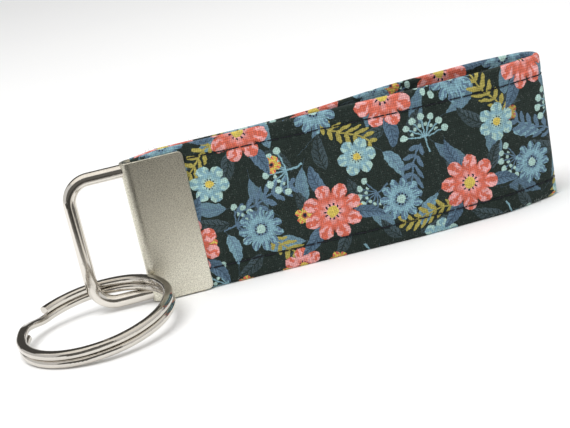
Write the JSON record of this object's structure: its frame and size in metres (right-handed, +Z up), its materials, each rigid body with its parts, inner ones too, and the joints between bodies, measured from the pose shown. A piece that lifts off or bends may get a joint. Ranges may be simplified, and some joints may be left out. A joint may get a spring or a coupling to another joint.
{
  "type": "wristlet keychain",
  "caption": "Short fabric wristlet key fob: a folded cotton strap crimped in a metal end clamp, with a wire loop and a split ring.",
  "frame": {"origin": "middle of the clamp's mouth, on the plane that the strap's lower long edge rests on", "axes": "+X along the strap, from the split ring towards the fold; +Z up, across the strap's width; -Y is the front face"},
  "size_m": [0.1276, 0.0431, 0.0334],
  "materials": {
    "satin_nickel": "satin nickel plate",
    "polished_nickel": "polished nickel plate",
    "printed_cotton": null,
    "interfacing": "stiff non-woven"
  },
  "bodies": {
    "fob": {"clamp": "satin_nickel", "wire_loop": "polished_nickel", "cotton_sleeve": "printed_cotton", "interfacing_core": "interfacing"},
    "key_ring": {"split_ring": "polished_nickel"}
  },
  "joints": [
    {"name": "ring_swing", "type": "hinge", "parent": "fob", "child": "key_ring", "pos_m": [-0.01217, -0.00578, 0.00945], "axis": [-0.4954, 0.8446, -0.2031], "range_deg": [0, 135]}
  ]
}
